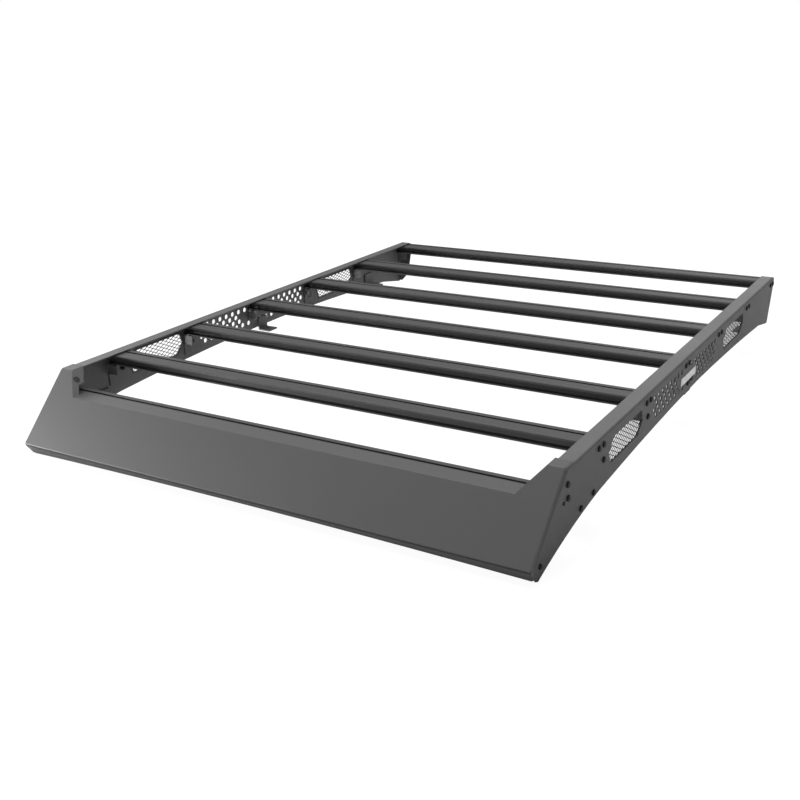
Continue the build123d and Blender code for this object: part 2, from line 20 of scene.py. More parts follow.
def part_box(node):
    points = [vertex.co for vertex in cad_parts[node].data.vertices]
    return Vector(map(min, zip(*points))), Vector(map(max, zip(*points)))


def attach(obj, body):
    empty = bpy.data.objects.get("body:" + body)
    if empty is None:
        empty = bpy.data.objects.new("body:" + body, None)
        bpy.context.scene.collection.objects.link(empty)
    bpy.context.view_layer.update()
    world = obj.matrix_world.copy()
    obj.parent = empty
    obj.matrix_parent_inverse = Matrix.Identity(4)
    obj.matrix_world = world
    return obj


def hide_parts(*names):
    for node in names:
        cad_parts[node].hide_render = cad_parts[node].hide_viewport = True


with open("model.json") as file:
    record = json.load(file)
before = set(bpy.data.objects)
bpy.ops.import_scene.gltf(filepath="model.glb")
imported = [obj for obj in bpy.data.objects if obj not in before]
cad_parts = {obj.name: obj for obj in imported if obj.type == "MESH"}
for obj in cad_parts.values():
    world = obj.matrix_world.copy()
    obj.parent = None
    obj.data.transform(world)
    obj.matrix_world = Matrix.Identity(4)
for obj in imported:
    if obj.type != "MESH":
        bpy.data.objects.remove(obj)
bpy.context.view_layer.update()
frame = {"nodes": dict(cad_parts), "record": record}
nodes = frame["nodes"]

# %% [markdown]
# ## Places on the rack
#
# The panels' outer faces, the rails' top and the bars' centres are read from the solids' boxes, so they
# aren't typed in twice. Every other place on a side panel is a distance behind the deck's front end and a
# drop below the rails' top face, both in millimetres, as a fitter would measure them on the real rack.

# %% Places on the rack
MM = 0.001
FIRST_BAR_STATION = 167.5
PANEL_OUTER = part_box("right_side_panel")[1].x
RAIL_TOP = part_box("right_side_panel")[1].z
BAR_NODES = [f"cross_bar_{number}" for number in range(1, 7)]
BAR_CENTRES = [(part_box(name)[0].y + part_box(name)[1].y) / 2 for name in BAR_NODES]
DECK_FRONT = BAR_CENTRES[0] - FIRST_BAR_STATION * MM
SIDES = {"left": -1, "right": 1}


def station(distance_mm):
    """Y of a place so many millimetres behind the deck's front end."""
    return DECK_FRONT + distance_mm * MM


def level(drop_mm):
    """Z of a place so many millimetres below the rails' top face."""
    return RAIL_TOP - drop_mm * MM


print("panels end at X", round(PANEL_OUTER, 4), "rails' top at Z", round(RAIL_TOP, 4))
print("deck starts at Y", round(DECK_FRONT, 4), "bars at Y", [round(y, 3) for y in BAR_CENTRES])

# %% [markdown]
# ## Shared shader effects
#
# Powder coat is a fine dry texture over a tone that drifts a little from batch to batch and from spray pass
# to spray pass. Sharp edges get a painted highlight and a bend gets a painted shade line. An image would show
# its pixels up close, so the coat is made of procedural noise instead. Four effects make it: the grain as a
# height, the drift in tone as a value, the softened edge as a normal and a mask for its painted highlight,
# and the painted shade line along a bend as a mask. Each is a node group, so that every finish uses the same
# recipe with its own numbers.

# %% The coat's grain
GRAIN_SCALE = 900.0
GRAIN_DETAIL = 3.0
GRAIN_ROUGHNESS = 0.6
GRAIN_SHARE = 0.7
PEEL_SCALE = 0.45
PEEL_SMOOTHNESS = 0.6
PEEL_SHARE = 0.45


def start_group(name, inputs, outputs):
    """A node group with named sockets; returns its tree, its input node and its output node."""
    tree = bpy.data.node_groups.new(name, "ShaderNodeTree")
    for label, kind, value in inputs:
        socket = tree.interface.new_socket(label, in_out="INPUT", socket_type=kind)
        socket.default_value = value
    for label, kind in outputs:
        tree.interface.new_socket(label, in_out="OUTPUT", socket_type=kind)
    return tree, tree.nodes.new("NodeGroupInput"), tree.nodes.new("NodeGroupOutput")


def feed(tree, value, socket):
    """Links a socket to another one, or gives it a plain value."""
    if isinstance(value, bpy.types.NodeSocket):
        tree.links.new(value, socket)
    else:
        socket.default_value = value


def math_node(tree, operation, first, second):
    """A Math node fed by sockets or plain numbers."""
    node = tree.nodes.new("ShaderNodeMath")
    node.operation = operation
    feed(tree, first, node.inputs[0])
    feed(tree, second, node.inputs[1])
    return node.outputs[0]


def noise(tree, vector, scale, detail, roughness=0.5):
    """A Noise Texture node's value; scale is a socket or a plain number."""
    node = tree.nodes.new("ShaderNodeTexNoise")
    node.inputs["Detail"].default_value = detail
    node.inputs["Roughness"].default_value = roughness
    tree.links.new(vector, node.inputs["Vector"])
    feed(tree, scale, node.inputs["Scale"])
    return node.outputs["Fac"]


def make_grain_group():
    """Small irregular bumps on broader, softer ones."""
    tree, inlet, outlet = start_group(
        "coat_grain",
        [("Vector", "NodeSocketVector", (0, 0, 0)), ("Scale", "NodeSocketFloat", GRAIN_SCALE)],
        [("Height", "NodeSocketFloat")],
    )
    vector = inlet.outputs["Vector"]
    scale = inlet.outputs["Scale"]
    fine = noise(tree, vector, scale, GRAIN_DETAIL, GRAIN_ROUGHNESS)
    peel = tree.nodes.new("ShaderNodeTexVoronoi")
    peel.feature = "SMOOTH_F1"
    peel.inputs["Smoothness"].default_value = PEEL_SMOOTHNESS
    tree.links.new(vector, peel.inputs["Vector"])
    tree.links.new(math_node(tree, "MULTIPLY", scale, PEEL_SCALE), peel.inputs["Scale"])
    bumps = math_node(tree, "MULTIPLY", fine, GRAIN_SHARE)
    hollows = math_node(tree, "MULTIPLY", peel.outputs["Distance"], PEEL_SHARE)
    tree.links.new(math_node(tree, "SUBTRACT", bumps, hollows), outlet.inputs["Height"])
    return tree


GRAIN = make_grain_group()
print("node group", GRAIN.name, "has", len(GRAIN.nodes), "nodes")


# %% The coat's drift in tone
CLOUD_SCALE = 4.0
CLOUD_DETAIL = 4.0
CLOUD_SHARE = 0.7
SPECKLE_SCALE = 420.0
SPECKLE_DETAIL = 2.0
NOISE_LOW = 0.3
NOISE_HIGH = 0.7


def spread(tree, value, low, high, to_low, to_high):
    """A Map Range node, clamped."""
    node = tree.nodes.new("ShaderNodeMapRange")
    tree.links.new(value, node.inputs["Value"])
    for label, number in (("From Min", low), ("From Max", high), ("To Min", to_low), ("To Max", to_high)):
        node.inputs[label].default_value = number
    return node.outputs["Result"]


def make_drift_group():
    """Broad soft clouds of tone, and fine speckle on top of them."""
    tree, inlet, outlet = start_group(
        "tone_drift",
        [("Vector", "NodeSocketVector", (0, 0, 0)), ("Cloud", "NodeSocketFloat", CLOUD_SCALE),
         ("Speckle", "NodeSocketFloat", SPECKLE_SCALE)],
        [("Tone", "NodeSocketFloat")],
    )
    vector = inlet.outputs["Vector"]
    cloud = noise(tree, vector, inlet.outputs["Cloud"], CLOUD_DETAIL)
    speckle = noise(tree, vector, inlet.outputs["Speckle"], SPECKLE_DETAIL)
    broad = spread(tree, cloud, NOISE_LOW, NOISE_HIGH, 0.0, CLOUD_SHARE)
    small = spread(tree, speckle, NOISE_LOW, NOISE_HIGH, 0.0, 1.0 - CLOUD_SHARE)
    tree.links.new(math_node(tree, "ADD", broad, small), outlet.inputs["Tone"])
    return tree


DRIFT = make_drift_group()
print("node group", DRIFT.name, "has", len(DRIFT.nodes), "nodes")


# %% Softened edges and a painted edge highlight
ROUNDING_SAMPLES = 4
EDGE_COSINE = 0.75
FLAT_COSINE = 0.995
HIGHLIGHT_PATCH_SCALE = 90.0
HIGHLIGHT_PATCH_DETAIL = 3.0
HIGHLIGHT_PATCH_LOW = 0.35
HIGHLIGHT_PATCH_HIGH = 0.65
LEAST_HIGHLIGHT = 0.35


def make_edge_highlight_group():
    """Rounds sharp edges in the shading, and gives a mask along them for a painted highlight, in noisy
    patches.
    """
    tree, inlet, outlet = start_group(
        "soft_edge_and_painted_highlight",
        [("Vector", "NodeSocketVector", (0, 0, 0)), ("Radius", "NodeSocketFloat", 1.0 * MM)],
        [("Mask", "NodeSocketFloat"), ("Normal", "NodeSocketVector")],
    )
    rounded = tree.nodes.new("ShaderNodeBevel")
    rounded.samples = ROUNDING_SAMPLES
    tree.links.new(inlet.outputs["Radius"], rounded.inputs["Radius"])
    face = tree.nodes.new("ShaderNodeNewGeometry")
    cosine = tree.nodes.new("ShaderNodeVectorMath")
    cosine.operation = "DOT_PRODUCT"
    tree.links.new(rounded.outputs["Normal"], cosine.inputs[0])
    tree.links.new(face.outputs["Normal"], cosine.inputs[1])
    # The mask for the painted highlight: where the rounded normal turns from the face, broken into patches of
    # noise.
    turned = spread(tree, cosine.outputs["Value"], EDGE_COSINE, FLAT_COSINE, 1.0, 0.0)
    patches = noise(tree, inlet.outputs["Vector"], HIGHLIGHT_PATCH_SCALE, HIGHLIGHT_PATCH_DETAIL)
    highlight_share = spread(tree, patches, HIGHLIGHT_PATCH_LOW, HIGHLIGHT_PATCH_HIGH, LEAST_HIGHLIGHT, 1.0)
    tree.links.new(math_node(tree, "MULTIPLY", turned, highlight_share), outlet.inputs["Mask"])
    tree.links.new(rounded.outputs["Normal"], outlet.inputs["Normal"])
    return tree


EDGE_HIGHLIGHT = make_edge_highlight_group()
print("node group", EDGE_HIGHLIGHT.name, "has", len(EDGE_HIGHLIGHT.nodes), "nodes")


# %% Painted shade line along a bend
def make_bend_shade_group():
    """A mask for a painted shade line: bright between two heights, with soft ends."""
    tree, inlet, outlet = start_group(
        "painted_bend_shade",
        [("Vector", "NodeSocketVector", (0, 0, 0)), ("Low", "NodeSocketFloat", 0.0),
         ("High", "NodeSocketFloat", 1.0), ("Soft", "NodeSocketFloat", 1.0 * MM)],
        [("Mask", "NodeSocketFloat")],
    )
    split = tree.nodes.new("ShaderNodeSeparateXYZ")
    tree.links.new(inlet.outputs["Vector"], split.inputs["Vector"])
    height = split.outputs["Z"]
    ends = []
    for first, second in ((height, inlet.outputs["Low"]), (inlet.outputs["High"], height)):
        gap = math_node(tree, "SUBTRACT", first, second)
        ratio = math_node(tree, "DIVIDE", gap, inlet.outputs["Soft"])
        ends.append(spread(tree, ratio, -0.5, 0.5, 0.0, 1.0))
    tree.links.new(math_node(tree, "MULTIPLY", *ends), outlet.inputs["Mask"])
    return tree


BEND_SHADE = make_bend_shade_group()
print("node group", BEND_SHADE.name, "has", len(BEND_SHADE.nodes), "nodes")

# %% [markdown]
# ## Finishes
#
# Six finishes cover the rack: the powder coats of the folded sheet and of the fairing, the darker coat of the
# extruded bars with faint draw lines along their length, the coat of the expanded metal, the oiled black of
# the screws, and the pale plate with fine brushed lines. On the fairing a painted shade line runs along the
# fold above the lip, and every finish gets a painted highlight along sharp edges. Separate materials would
# repeat the same nodes six times, so one function wires them all, and each finish is a short list of its own
# numbers. A stretch below 1 draws the texture out along that axis.

# %% Coated metal
# Near-black colour and soft ends of the painted shade line along a bend.
BEND_SHADE_TONE = (0.008, 0.008, 0.008)
BEND_SHADE_SOFTNESS = 1.2 * MM


def place_group(tree, group, vector, **values):
    """Puts a group into a material, with its vector linked and its numbers set."""
    node = tree.nodes.new("ShaderNodeGroup")
    node.node_tree = group
    tree.links.new(vector, node.inputs["Vector"])
    for label, number in values.items():
        node.inputs[label].default_value = number
    return node


def mix_colours(tree, factor, first, second):
    """A colour Mix node; first and second are sockets or plain colours."""
    node = tree.nodes.new("ShaderNodeMix")
    node.data_type = "RGBA"
    tree.links.new(factor, node.inputs["Factor"])
    for value, socket in ((first, node.inputs["A"]), (second, node.inputs["B"])):
        feed(tree, (*value, 1.0) if isinstance(value, tuple) else value, socket)
    return node.outputs["Result"]


def coated_metal(name, dark, light, edge, rough, grain_scale, grain_depth, edge_radius, stretch=(1, 1, 1),
                 specular=0.5, bend=None):
    """A finish from the shared effects; edge is the colour of its painted highlight on sharp edges,
    and bend gives the heights between which a painted shade line runs.
    """
    material = bpy.data.materials.new(name)
    material.use_nodes = True
    tree = material.node_tree
    shader = tree.nodes["Principled BSDF"]
    shader.inputs["Specular IOR Level"].default_value = specular
    place = tree.nodes.new("ShaderNodeTexCoord").outputs["Object"]
    stretched = tree.nodes.new("ShaderNodeMapping")
    stretched.inputs["Scale"].default_value = stretch
    tree.links.new(place, stretched.inputs["Vector"])
    vector = stretched.outputs["Vector"]
    tone = place_group(tree, DRIFT, vector, Cloud=CLOUD_SCALE, Speckle=SPECKLE_SCALE).outputs["Tone"]
    grain = place_group(tree, GRAIN, vector, Scale=grain_scale)
    rim = place_group(tree, EDGE_HIGHLIGHT, place, Radius=edge_radius)
    colour = mix_colours(tree, tone, dark, light)
    # Painted highlight: the edge colour is mixed in along sharp edges.
    colour = mix_colours(tree, rim.outputs["Mask"], colour, edge)
    # Painted shade: a near-black line between the bend's two heights.
    if bend:
        line = place_group(tree, BEND_SHADE, place, Low=bend[0], High=bend[1], Soft=BEND_SHADE_SOFTNESS)
        colour = mix_colours(tree, line.outputs["Mask"], colour, BEND_SHADE_TONE)
    tree.links.new(colour, shader.inputs["Base Color"])
    tree.links.new(spread(tree, tone, 0.0, 1.0, *rough), shader.inputs["Roughness"])
    bump = tree.nodes.new("ShaderNodeBump")
    bump.inputs["Strength"].default_value = 1.0
    bump.inputs["Distance"].default_value = grain_depth
    tree.links.new(grain.outputs["Height"], bump.inputs["Height"])
    tree.links.new(rim.outputs["Normal"], bump.inputs["Normal"])
    tree.links.new(bump.outputs["Normal"], shader.inputs["Normal"])
    return material


# Each finish's edge colour is the painted highlight along its sharp edges.
SHEET_COAT = coated_metal(
    "sheet_coat_look", dark=(0.075, 0.075, 0.077), light=(0.09, 0.09, 0.092), edge=(0.13, 0.13, 0.132),
    rough=(0.58, 0.5), grain_scale=GRAIN_SCALE, grain_depth=0.16 * MM, edge_radius=0.9 * MM)
print("first finish:", SHEET_COAT.name, "with", len(SHEET_COAT.node_tree.nodes), "nodes")

# %% The other finishes
# Heights of the painted shade line along the fairing's fold above the lip.
FOLD_SHADE_HEIGHTS = (23.6 * MM, 29.0 * MM)
FAIRING_COAT = coated_metal(
    "fairing_coat_look", dark=(0.055, 0.055, 0.056), light=(0.064, 0.064, 0.065), edge=(0.102, 0.102, 0.102),
    rough=(0.6, 0.52), grain_scale=GRAIN_SCALE, grain_depth=0.16 * MM, edge_radius=0.9 * MM, bend=FOLD_SHADE_HEIGHTS)
BAR_COAT = coated_metal(
    "bar_coat_look", dark=(0.042, 0.042, 0.042), light=(0.053, 0.053, 0.053), edge=(0.085, 0.085, 0.085),
    rough=(0.6, 0.53), grain_scale=800.0, grain_depth=0.12 * MM, edge_radius=0.8 * MM,
    stretch=(0.12, 1, 1), specular=0.36)
MESH_COAT = coated_metal(
    "mesh_coat_look", dark=(0.035, 0.035, 0.036), light=(0.045, 0.045, 0.046), edge=(0.08, 0.08, 0.08),
    rough=(0.55, 0.5), grain_scale=1100.0, grain_depth=0.1 * MM, edge_radius=0.4 * MM)
SCREW_BLACK = coated_metal(
    "screw_black_look", dark=(0.008, 0.008, 0.008), light=(0.013, 0.013, 0.013), edge=(0.03, 0.03, 0.03),
    rough=(0.5, 0.42), grain_scale=1500.0, grain_depth=0.03 * MM, edge_radius=0.3 * MM, specular=0.25)
PLATE_METAL = coated_metal(
    "plate_metal_look", dark=(0.9, 0.9, 0.91), light=(0.95, 0.95, 0.96), edge=(0.98, 0.98, 0.98),
    rough=(0.5, 0.42), grain_scale=500.0, grain_depth=0.04 * MM, edge_radius=0.4 * MM,
    stretch=(1, 0.03, 1))
print("finishes:", [material.name for material in bpy.data.materials if material.name.endswith("_look")])

# %% Dress the CAD nodes
SLOT_LOOKS = {
    "sheet_coat": SHEET_COAT,
    "fairing_coat": FAIRING_COAT,
    "bar_coat": BAR_COAT,
    "mesh_coat": MESH_COAT,
    "plate_metal": PLATE_METAL,
}
for entry in frame["record"]["subparts"]:
    for slot in nodes[entry["node"]].material_slots:
        slot.material = SLOT_LOOKS[entry["material_slot"]]

# %% [markdown]
# ## Expanded metal in the windows
#
# Each window is closed by expanded metal: a thin sheet that is slit in staggered rows and pulled, so that its
# strands open into diamonds and twist a little between the bonds where they meet. A pierced plate would lack
# that twist, which catches the light, and the CAD insert is such a plate, so it is replaced here. One strand
# is a long box from bmesh, cut into short lengths and turned more and more towards its middle. Copies of it
# fill the window. The insert's own hull gives the plain rim round the mesh and the planes that trim the
# strands, so the mesh fits its window whatever the window's shape.

# %% One strand
DIAMOND_LENGTH = 20.0 * MM
DIAMOND_HEIGHT = 10.0 * MM
STRAND_WIDTH = 1.15 * MM
STRAND_SHEET = 1.6 * MM
STRAND_TWIST = math.radians(38)
STRAND_CUTS = 3
BOND_OVERLAP = 0.6 * STRAND_WIDTH


def strand_mesh():
    """A strand along X from the origin, flat at its ends and twisted in the middle."""
    length = math.hypot(DIAMOND_LENGTH / 2, DIAMOND_HEIGHT / 2)
    bm = bmesh.new()
    bmesh.ops.create_cube(bm, size=1.0)
    bmesh.ops.scale(bm, vec=(length + BOND_OVERLAP, STRAND_WIDTH, STRAND_SHEET), verts=bm.verts)
    along = [edge for edge in bm.edges if abs(edge.verts[0].co.x - edge.verts[1].co.x) > length / 2]
    bmesh.ops.subdivide_edges(bm, edges=along, cuts=STRAND_CUTS, use_grid_fill=True)
    for vert in bm.verts:
        turn = STRAND_TWIST * math.cos(math.pi * vert.co.x / (length + STRAND_WIDTH))
        vert.co = Matrix.Rotation(turn, 3, "X") @ vert.co
    bmesh.ops.translate(bm, vec=(length / 2, 0, 0), verts=bm.verts)
    mesh = bpy.data.meshes.new("strand")
    bm.to_mesh(mesh)
    bm.free()
    return mesh


STRAND = strand_mesh()
print("strand faces:", len(STRAND.polygons))


# %% Rim and trimmed strands
RIM_WIDTH = 3.4 * MM
FLAT_ANGLE = math.radians(2)
LEAN = math.atan2(DIAMOND_HEIGHT, DIAMOND_LENGTH)
UPRIGHT = Matrix(((0, 0, 1, 0), (1, 0, 0, 0), (0, 1, 0, 0), (0, 0, 0, 1)))


def insert_hull(name):
    """The convex hull of a CAD insert, as a bmesh prism with two flat large faces."""
    bm = bmesh.new()
    bm.from_mesh(nodes[name].data)
    bmesh.ops.transform(bm, matrix=nodes[name].matrix_world, verts=bm.verts)
    bmesh.ops.delete(bm, geom=list(bm.edges), context="EDGES_FACES")
    made = bmesh.ops.convex_hull(bm, input=list(bm.verts))
    spare = made["geom_interior"] + made["geom_unused"]
    inside = {vert for vert in spare if isinstance(vert, bmesh.types.BMVert)}
    bmesh.ops.delete(bm, geom=[vert for vert in inside if not vert.link_faces], context="VERTS")
    bmesh.ops.dissolve_limit(bm, angle_limit=FLAT_ANGLE, verts=bm.verts, edges=bm.edges)
    bmesh.ops.recalc_face_normals(bm, faces=bm.faces)
    return bm


def faces_sideways(face):
    """True for the two large faces of a hull, which look along X."""
    return abs(face.normal.x) > 0.5


def trim_planes(hull):
    """Point and normal of each narrow face of a hull."""
    narrow = [face for face in hull.faces if not faces_sideways(face)]
    return [(face.calc_center_median(), face.normal.copy()) for face in narrow]


def open_rim(hull):
    """Turns the hull into a flat ring: both large faces are inset, taken away and joined."""
    large = [face for face in hull.faces if faces_sideways(face)]
    bmesh.ops.inset_individual(hull, faces=large, thickness=RIM_WIDTH, use_even_offset=True)
    loops = [edge for face in large for edge in face.edges]
    bmesh.ops.delete(hull, geom=large, context="FACES_ONLY")
    bmesh.ops.bridge_loops(hull, edges=loops)
    bmesh.ops.recalc_face_normals(hull, faces=hull.faces)


def fill_with_strands(bm, low, high):
    """Fills the upright rectangle from low to high, and a little more, with staggered diamonds."""
    columns = int((high.y - low.y) / DIAMOND_LENGTH) + 2
    rows = int((high.z - low.z) / DIAMOND_HEIGHT) + 2
    middle_x = (low.x + high.x) / 2
    for row in range(rows):
        for column in range(columns):
            bond = (middle_x, low.y + column * DIAMOND_LENGTH, low.z + row * DIAMOND_HEIGHT)
            for angle in (LEAN, -LEAN, math.pi - LEAN, math.pi + LEAN):
                before = len(bm.verts)
                bm.from_mesh(STRAND)
                bm.verts.ensure_lookup_table()
                turned = Matrix.Translation(bond) @ UPRIGHT @ Matrix.Rotation(angle, 4, "Z")
                bmesh.ops.transform(bm, matrix=turned, verts=bm.verts[before:])


def whole(bm):
    """All of a bmesh, as the geometry that a cut asks for."""
    return bm.verts[:] + bm.edges[:] + bm.faces[:]


def cut_edges(cut):
    """The new edges along a bisect's cut."""
    return [item for item in cut["geom_cut"] if isinstance(item, bmesh.types.BMEdge)]


def trim(bm, planes):
    """Cuts everything away outside the planes and closes the cuts."""
    for point, normal in planes:
        cut = bmesh.ops.bisect_plane(bm, geom=whole(bm), plane_co=point, plane_no=normal, clear_outer=True)
        bmesh.ops.holes_fill(bm, edges=cut_edges(cut), sides=0)


def new_piece(name, bm, look):
    """Writes a bmesh to a named object that rides on the rack."""
    mesh = bpy.data.meshes.new(name)
    bm.to_mesh(mesh)
    bm.free()
    mesh.materials.append(look)
    piece = bpy.data.objects.new(name, mesh)
    bpy.context.scene.collection.objects.link(piece)
    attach(piece, "root")
    return piece


def expanded_metal(name):
    """The expanded metal of one window, in place of its CAD insert."""
    low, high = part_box(name)
    hull = insert_hull(name)
    bm = bmesh.new()
    fill_with_strands(bm, low, high)
    trim(bm, trim_planes(hull))
    open_rim(hull)
    rim = bpy.data.meshes.new("rim")
    hull.to_mesh(rim)
    hull.free()
    bm.from_mesh(rim)
    bpy.data.meshes.remove(rim)
    piece = new_piece(name.replace("mesh", "expanded_metal"), bm, MESH_COAT)
    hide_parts(name)
    print(piece.name, "faces:", len(piece.data.polygons))


for side_name in SIDES:
    for place in ("front", "rear"):
        expanded_metal(f"{side_name}_{place}_mesh")

# %% [markdown]
# ## Rolled edges beside the fairing
#
# On the real rack each side panel is rolled over at its sloped front edge. The roll shows as a rounded strip
# between the fairing and the panel, and runs on along the side of the ear's flange, over the rail. The solids
# stop short of it and leave a narrow gap at the nose. A strip swept along a curve would pinch at the sharp
# fold, so this one starts as a small section in the plane that halves the fold's angle. Its outline is
# extruded down the lip and up the slope, cut off in the mitre of the ear's corner and extruded again along
# the flange, and its outer edges are rounded with one bevel. The strip is made as wide as it is deep for that
# bevel and squeezed sideways after it, which gives a roll that is deeper than it is wide. What a bevel makes
# of a corner depends a little on the order of the edges, so they are put in order of place before it.

# %% Rolled edges
ROLL_WIDTH = 4.6 * MM
ROLL_DEPTH = 6.5 * MM
ROLL_BEVEL = 0.98 * ROLL_DEPTH
ROLL_SEGMENTS = 6
FLOOR_GAP = 0.4 * MM
OVERRUN = 1.3
CLOSE = 0.01 * MM
ALIGNED = 0.001 * MM


def side_point(distance_mm, drop_mm):
    """A place in the rack's middle plane, behind the deck's front end and below the rails' top."""
    return Vector((0, station(distance_mm), level(drop_mm)))


LIP_END = side_point(-122.0, 168.0)
FOLD = side_point(-143.0, 139.5)
EAR_CORNER = side_point(-2.0, -2.4)
FLANGE_END = side_point(33.0, -2.4)
DOWN_LIP = (LIP_END - FOLD).normalized()
UP_SLOPE = (EAR_CORNER - FOLD).normalized()
BACKWARDS = (FLANGE_END - EAR_CORNER).normalized()


def carry_edges(bm, edges, travel):
    """Extrudes a loop of edges and moves the copy along."""
    made = bmesh.ops.extrude_edge_only(bm, edges=edges)
    moved = [item for item in made["geom"] if isinstance(item, bmesh.types.BMVert)]
    bmesh.ops.translate(bm, verts=moved, vec=travel)


def strip_blank():
    """The strip before rounding: a bent bar from X = 0 outwards, along the lip, the slope and the flange."""
    across = Vector((1, 0, 0))
    inwards = (UP_SLOPE + DOWN_LIP).normalized()
    reach = ROLL_DEPTH / math.sin(UP_SLOPE.angle(DOWN_LIP) / 2)
    mitre = Matrix((across, inwards, across.cross(inwards))).transposed().to_4x4()
    bm = bmesh.new()
    bmesh.ops.create_grid(bm, x_segments=1, y_segments=1, size=0.5)
    bmesh.ops.translate(bm, verts=bm.verts, vec=(0.5, 0.5, 0))
    bmesh.ops.scale(bm, verts=bm.verts, vec=(ROLL_DEPTH, reach, 1))
    bmesh.ops.transform(bm, matrix=Matrix.Translation(FOLD) @ mitre, verts=bm.verts)
    outline = list(bm.edges)
    bmesh.ops.delete(bm, geom=list(bm.faces), context="FACES_ONLY")
    carry_edges(bm, outline, (LIP_END - FOLD) * OVERRUN)
    carry_edges(bm, outline, (EAR_CORNER - FOLD) * OVERRUN)
    cut = bmesh.ops.bisect_plane(
        bm, geom=whole(bm), plane_co=EAR_CORNER, plane_no=UP_SLOPE + BACKWARDS, clear_outer=True)
    carry_edges(bm, cut_edges(cut), (FLANGE_END - EAR_CORNER) * OVERRUN)
    trim(bm, [(FLANGE_END, BACKWARDS), (Vector((0, 0, FLOOR_GAP)), Vector((0, 0, -1)))])
    return bm


def edge_places(edge):
    """Both ends of an edge, as rounded places in order."""
    return sorted(tuple(round(value, 6) for value in vert.co) for vert in edge.verts)


def put_in_order(bm):
    """Makes a mesh anew with its edges in order of place, so that a bevel comes out the same in every run."""
    rank = {edge: count for count, edge in enumerate(sorted(bm.edges, key=edge_places))}
    bm.edges.sort(key=lambda edge: rank[edge])
    mesh = bpy.data.meshes.new("blank")
    bm.to_mesh(mesh)
    bm.clear()
    bm.from_mesh(mesh)
    bpy.data.meshes.remove(mesh)


def on_skin(place):
    """True for a place on the outer line along the lip, the slope or the flange."""
    lines = ((FOLD, DOWN_LIP), (FOLD, UP_SLOPE), (EAR_CORNER, BACKWARDS))
    return any(abs((place - start).cross(line).x) < ALIGNED for start, line in lines)


def is_outer_edge(edge):
    """True for the edges that the roll rounds: the outer long ones and the two across the bends."""
    ends = [vert.co for vert in edge.verts]
    across = any(all((end - bend).yz.length < CLOSE for end in ends) for bend in (FOLD, EAR_CORNER))
    outside = all(end.x > ROLL_DEPTH - CLOSE for end in ends)
    return all(on_skin(end) for end in ends) and (across or outside)


def rolled_edge(name, side):
    """One rounded strip, in place beside the fairing."""
    bm = strip_blank()
    put_in_order(bm)
    edges = [edge for edge in bm.edges if is_outer_edge(edge)]
    bmesh.ops.bevel(
        bm, geom=edges, offset=ROLL_BEVEL, offset_type="OFFSET", segments=ROLL_SEGMENTS, profile=0.5,
        affect="EDGES", material=-1, clamp_overlap=True)
    bmesh.ops.scale(bm, vec=(side * ROLL_WIDTH / ROLL_DEPTH, 1, 1), verts=bm.verts)
    bmesh.ops.translate(bm, vec=(side * (PANEL_OUTER - ROLL_WIDTH), 0, 0), verts=bm.verts)
    bmesh.ops.recalc_face_normals(bm, faces=bm.faces)
    piece = new_piece(name, bm, SHEET_COAT)
    print(name, "faces:", len(piece.data.polygons), "rounded edges:", len(edges))


for side_name, side in SIDES.items():
    rolled_edge(f"{side_name}_rolled_edge", side)

# %% [markdown]
# ## Screws and nuts
#
# The panels are screwed to the bars' ends and to the brackets with black button-head socket screws. From a
# few steps away each is a small dark dot, but up close the domed rim and the socket show, so both are
# modelled and not painted. A head starts as a cylinder from bmesh whose rim is bevelled into a dome. Its flat
# top is bridged to a hexagon, and the hexagon is extruded down for the socket. On the inside two of the
# bracket screws carry a washer and a nut, with the end of the thread. Copies are joined into one mesh for
# each panel.

# %% Fastener shapes
SEGMENTS = 24
STUD_SEGMENTS = 16
HEXAGON = 6
HEAD_RADIUS = 6.3 * MM
HEAD_HEIGHT = 3.5 * MM
DOME = 1.2 * MM
DOME_SEGMENTS = 4
SOCKET_RADIUS = 2.3 * MM
SOCKET_DEPTH = 1.9 * MM
WASHER_RADIUS = 6.4 * MM
WASHER_HEIGHT = 0.8 * MM
WASHER_EDGE = 0.2 * MM
NUT_RADIUS = 5.6 * MM
NUT_HEIGHT = 4.8 * MM
NUT_EDGE = 0.5 * MM
NUT_SEGMENTS = 2
STUD_RADIUS = 2.9 * MM
STUD_HEIGHT = 7.5 * MM


def cylinder(bm, segments, radius, height, base):
    """A capped cylinder or prism that stands on base along Z; returns its top face."""
    made = bmesh.ops.create_cone(
        bm, cap_ends=True, cap_tris=False, segments=segments, radius1=radius, radius2=radius, depth=height,
        matrix=Matrix.Translation((0, 0, base + height / 2)))
    faces = {face for vert in made["verts"] for face in vert.link_faces}
    caps = [face for face in faces if len(face.verts) == segments]
    return max(caps, key=lambda face: face.calc_center_median().z)


def bevel_round(bm, face, width, segments):
    """Bevels the edges round a face."""
    bmesh.ops.bevel(
        bm, geom=list(face.edges), offset=width, offset_type="OFFSET", segments=segments, profile=0.5,
        affect="EDGES", material=-1, clamp_overlap=True)


def hex_socket(bm, top):
    """Opens a six-sided socket in a flat round top face."""
    height = top.calc_center_median().z
    rim = list(top.edges)
    bmesh.ops.delete(bm, geom=[top], context="FACES_ONLY")
    hexagon = bmesh.ops.create_circle(
        bm, cap_ends=False, segments=HEXAGON, radius=SOCKET_RADIUS, matrix=Matrix.Translation((0, 0, height)))
    mouth = list({edge for vert in hexagon["verts"] for edge in vert.link_edges})
    bmesh.ops.bridge_loops(bm, edges=rim + mouth)
    wall = bmesh.ops.extrude_edge_only(bm, edges=mouth)["geom"]
    low = {item for item in wall if isinstance(item, bmesh.types.BMVert)}
    floor = [item for item in wall if isinstance(item, bmesh.types.BMEdge) and low.issuperset(item.verts)]
    bmesh.ops.translate(bm, verts=list(low), vec=(0, 0, -SOCKET_DEPTH))
    bmesh.ops.contextual_create(bm, geom=floor)


